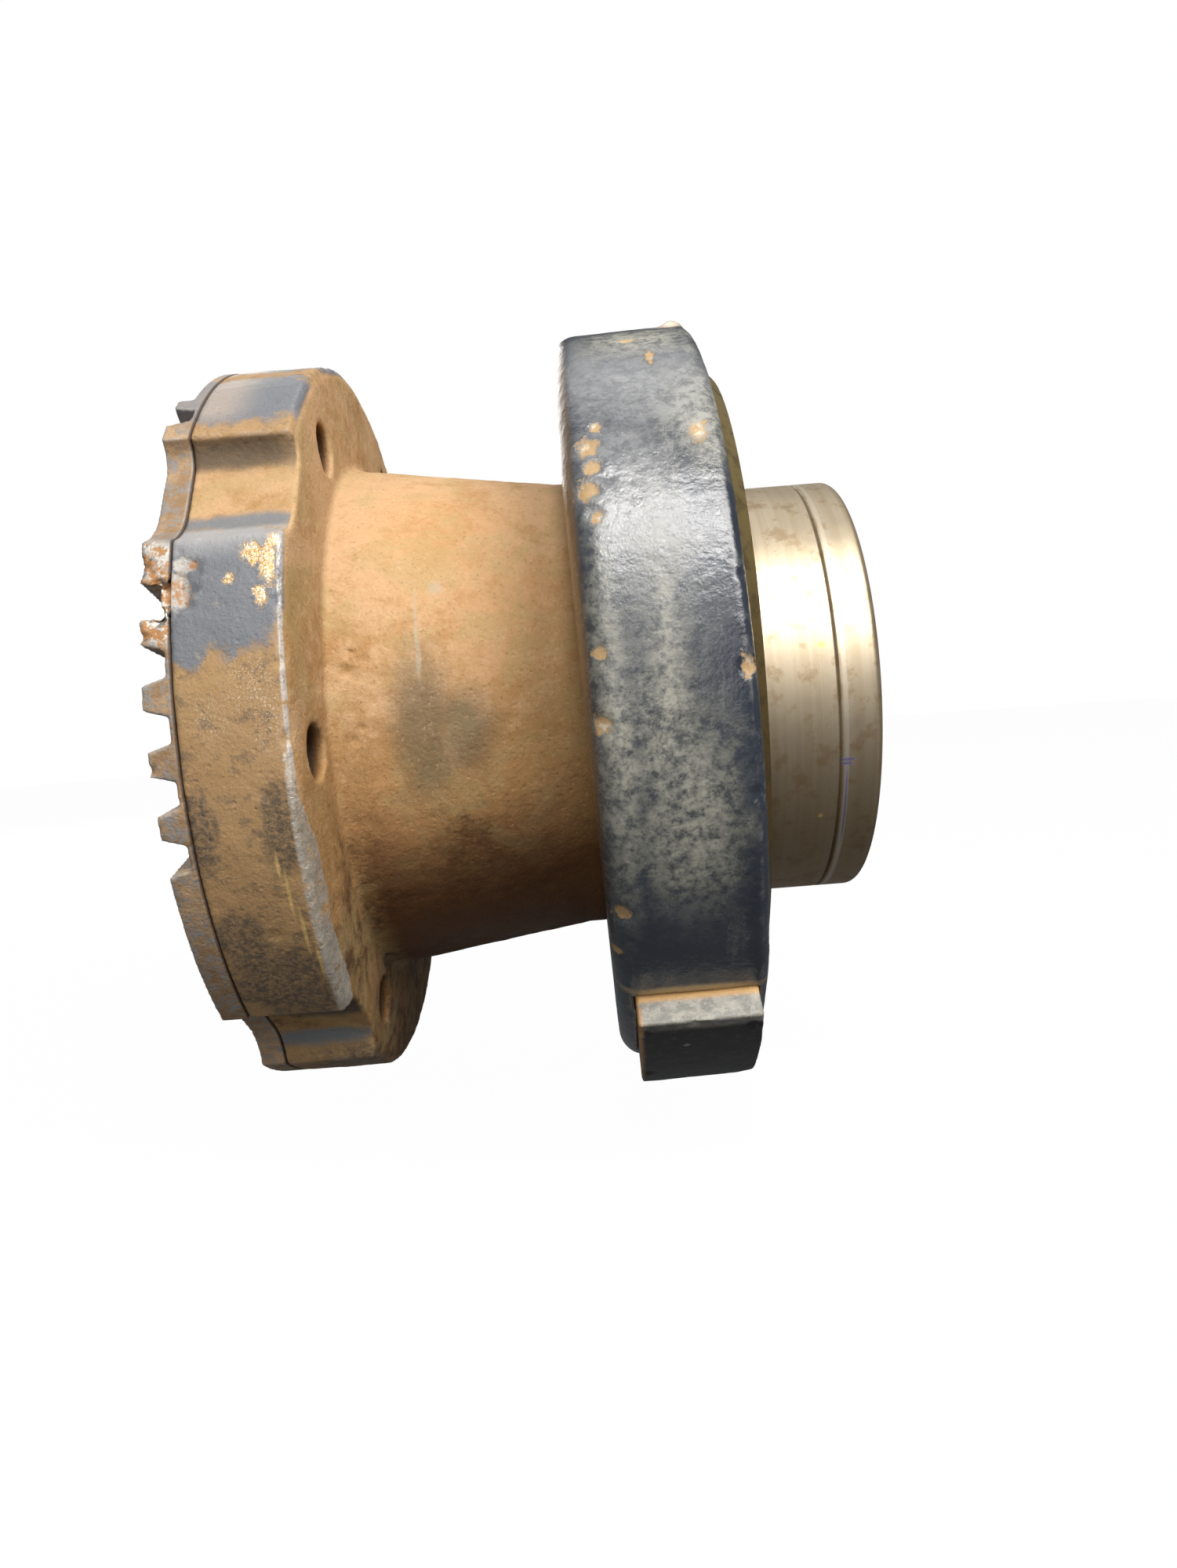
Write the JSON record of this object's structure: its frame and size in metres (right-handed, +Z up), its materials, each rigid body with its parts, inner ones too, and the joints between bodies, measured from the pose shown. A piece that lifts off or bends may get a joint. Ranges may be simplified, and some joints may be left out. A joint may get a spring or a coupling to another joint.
{
  "type": "lathe chuck",
  "caption": "Ring-operated lathe chuck: toothed spindle flange, tapered neck, turning ring with a strike lug that slides the jaws, cover plate and polished nose.",
  "frame": {"origin": "centre of the dog ring's tooth-root plane, on the spindle axis, at the middle of the spindle bolt circle", "axes": "+X along the spindle axis from the flange to the nose, +Z up, -Y towards the side with the first spindle bolt hole near it"},
  "size_m": [0.1403, 0.174, 0.1745],
  "materials": {
    "rusted_casting": "rust over worn dark paint, fine cast grit",
    "dog_steel": "worn dark paint over rust, bright worn edges",
    "black_enamel": "glossy blue-black enamel with dusty smears and chips",
    "oiled_cover": "olive-brown oil-stained steel",
    "polished_nose": "ground steel, slightly browned",
    "hardened_steel": "blackened hardened steel",
    "pad_steel": "ground hardened steel with serrations",
    "fastener_steel": "oil-blackened fastener steel",
    "bronze": "dull bearing bronze",
    "felt_seal": "oily pressed felt"
  },
  "bodies": {
    "chuck_body": {"body": "rusted_casting", "dog_ring": "dog_steel", "dog_ring_screws": "fastener_steel", "dog_ring_dowels": "fastener_steel", "rear_thrust_washer": "bronze", "front_thrust_ring": "bronze", "cover_plate": "oiled_cover", "cover_plate_screws": "fastener_steel", "dust_seal": "felt_seal", "nose_sleeve": "polished_nose", "nose_cap": "polished_nose", "nose_cap_screws": "fastener_steel"},
    "ring_assembly": {"operating_ring": "black_enamel", "strike_lug": "black_enamel", "strike_lug_screws": "fastener_steel", "cam_plate": "hardened_steel", "cam_plate_screws": "fastener_steel"},
    "jaw_1_assembly": {"jaw_1": "hardened_steel", "jaw_pad_1": "pad_steel", "jaw_pad_screws_1": "fastener_steel", "drive_pin_1": "hardened_steel"},
    "jaw_2_assembly": {"jaw_2": "hardened_steel", "jaw_pad_2": "pad_steel", "jaw_pad_screws_2": "fastener_steel", "drive_pin_2": "hardened_steel"},
    "jaw_3_assembly": {"jaw_3": "hardened_steel", "jaw_pad_3": "pad_steel", "jaw_pad_screws_3": "fastener_steel", "drive_pin_3": "hardened_steel"}
  },
  "joints": [
    {"name": "ring_turn", "type": "hinge", "parent": "chuck_body", "child": "ring_assembly", "pos_m": [0.08905, 0, 0], "axis": [-1, 0, 0], "range_deg": [0, 50]},
    {"name": "jaw_1_slide", "type": "slide", "parent": "chuck_body", "child": "jaw_1_assembly", "axis": [0, 0, -1], "range_m": [0, 0.01]},
    {"name": "jaw_2_slide", "type": "slide", "parent": "chuck_body", "child": "jaw_2_assembly", "axis": [0, 0.866, 0.5], "range_m": [0, 0.01]},
    {"name": "jaw_3_slide", "type": "slide", "parent": "chuck_body", "child": "jaw_3_assembly", "axis": [0, -0.866, 0.5], "range_m": [0, 0.01]}
  ],
  "couplings": [
    {"joint": "jaw_1_slide", "follows": "ring_turn", "m_per_rad": 0.011459},
    {"joint": "jaw_2_slide", "follows": "ring_turn", "m_per_rad": 0.011459},
    {"joint": "jaw_3_slide", "follows": "ring_turn", "m_per_rad": 0.011459}
  ]
}
